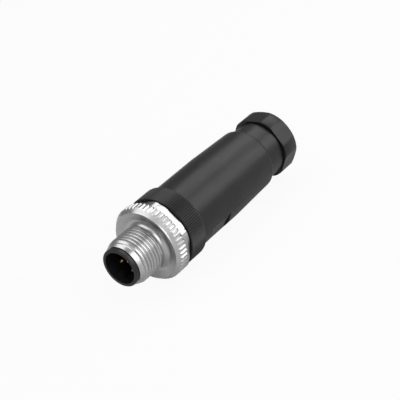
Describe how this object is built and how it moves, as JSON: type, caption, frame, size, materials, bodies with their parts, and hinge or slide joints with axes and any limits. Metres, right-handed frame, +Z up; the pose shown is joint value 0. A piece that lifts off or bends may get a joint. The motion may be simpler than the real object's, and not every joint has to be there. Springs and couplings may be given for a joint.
{
  "type": "circular connector",
  "caption": "Straight circular plug with a threaded coupling ring, recessed contact pins, a tapered sleeve housing and a hexagonal cable gland nut.",
  "frame": {"origin": "on the plug's axis, in the cross plane where the coupling thread ends at the flange side", "axes": "+Y along the plug's axis, from the mating face to the cable end; +Z up with the plug lying on its side"},
  "size_m": [0.0198, 0.0622, 0.0198],
  "materials": {
    "nickel_plated_brass": "bright satin nickel plate on turned brass",
    "gold_plated_brass": "gold plate on turned brass",
    "plated_steel": "zinc plated",
    "black_polyamide": "moulded, satin",
    "grey_polyamide": "moulded, matt",
    "black_rubber": "moulded rubber, matt"
  },
  "bodies": {
    "core": {"contact_insert": "black_polyamide", "insert_seal": "black_rubber", "contact_carrier": "black_polyamide", "pin_1": "gold_plated_brass", "pin_2": "gold_plated_brass", "pin_3": "gold_plated_brass", "pin_4": "gold_plated_brass", "pin_5": "gold_plated_brass", "terminal_screw_1": "plated_steel", "terminal_screw_2": "plated_steel", "terminal_screw_3": "plated_steel", "terminal_screw_4": "plated_steel", "terminal_screw_5": "plated_steel"},
    "coupling": {"coupling_screw": "nickel_plated_brass"},
    "housing_slide": {"housing_seal": "black_rubber"},
    "housing": {"housing": "black_polyamide", "gland_seal": "black_rubber"},
    "gland_press": {"pinch_ring": "grey_polyamide", "thrust_washer": "grey_polyamide"},
    "gland_nut": {"gland_nut": "black_polyamide"}
  },
  "joints": [
    {"name": "coupling_spin", "type": "hinge", "parent": "core", "child": "coupling", "pos_m": [0, 0, 0], "axis": [0, 1, 0], "continuous": true},
    {"name": "housing_travel", "type": "slide", "parent": "core", "child": "housing_slide", "axis": [0, 1, 0], "range_m": [0, 0.003]},
    {"name": "housing_turn", "type": "hinge", "parent": "housing_slide", "child": "housing", "pos_m": [0, 0, 0], "axis": [0, 1, 0], "range_deg": [0, 1080]},
    {"name": "gland_travel", "type": "slide", "parent": "housing", "child": "gland_press", "axis": [0, 1, 0], "range_m": [-0.00022, 0.003], "deforming": ["gland_seal"]},
    {"name": "gland_turn", "type": "hinge", "parent": "gland_press", "child": "gland_nut", "pos_m": [0, 0, 0], "axis": [0, 1, 0], "range_deg": [-54, 720]}
  ],
  "couplings": [
    {"joint": "housing_travel", "follows": "housing_turn", "m_per_rad": 0.00015915},
    {"joint": "gland_travel", "follows": "gland_turn", "m_per_rad": 0.00023873}
  ]
}
